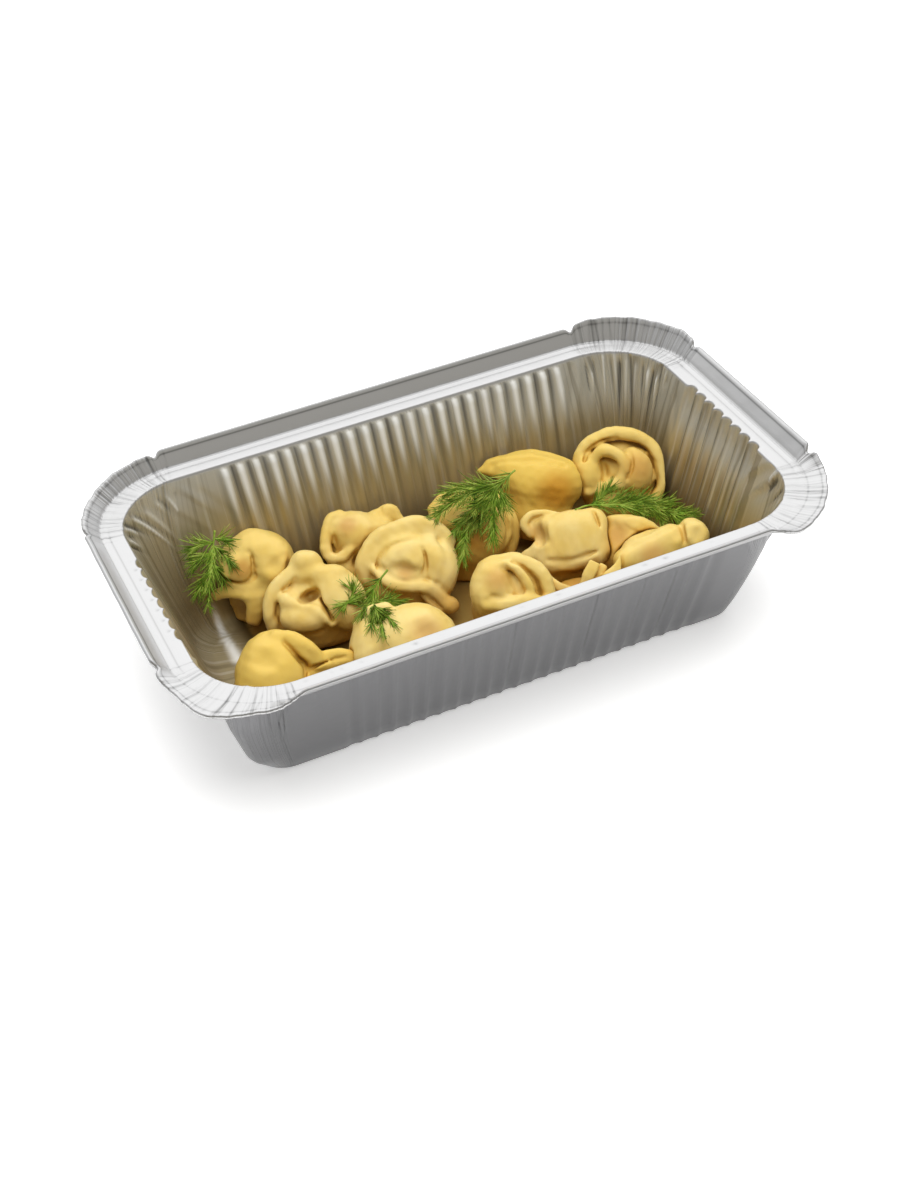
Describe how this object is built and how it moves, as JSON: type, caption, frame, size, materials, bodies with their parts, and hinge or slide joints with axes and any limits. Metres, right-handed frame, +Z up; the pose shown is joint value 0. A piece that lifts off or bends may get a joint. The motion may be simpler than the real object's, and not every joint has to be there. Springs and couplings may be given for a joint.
{
  "type": "foil tray meal",
  "caption": "Boiled meat dumplings with sprigs of dill in an open pressed aluminium-foil takeaway tray with fluted walls and a turned-up lip.",
  "frame": {"origin": "middle of the tray's base, on the table", "axes": "+X along the tray's length, -Y out of its near long side, +Z up out of its mouth"},
  "size_m": [0.2188, 0.1372, 0.0572],
  "materials": {
    "foil": "bright pressed foil with fine creases",
    "dough": "boiled egg dough, soft sheen",
    "herb": "fresh fine green leaves"
  },
  "bodies": {
    "root": {"tray": "foil", "dumpling_ring_left": "dough", "dumpling_big_arch": "dough", "dumpling_square": "dough", "dumpling_ring_right": "dough", "dumpling_half_moon": "dough", "dumpling_back_left": "dough", "dumpling_near_left": "dough", "dumpling_front_middle": "dough", "dumpling_front_ring": "dough", "dumpling_right_roll": "dough", "dumpling_behind_herb": "dough", "dumpling_back_middle": "dough", "dumpling_petals": "dough", "dumpling_tucked_right": "dough", "dill_left": "herb", "dill_big": "herb", "dill_small": "herb", "dill_right": "herb"}
  },
  "joints": []
}
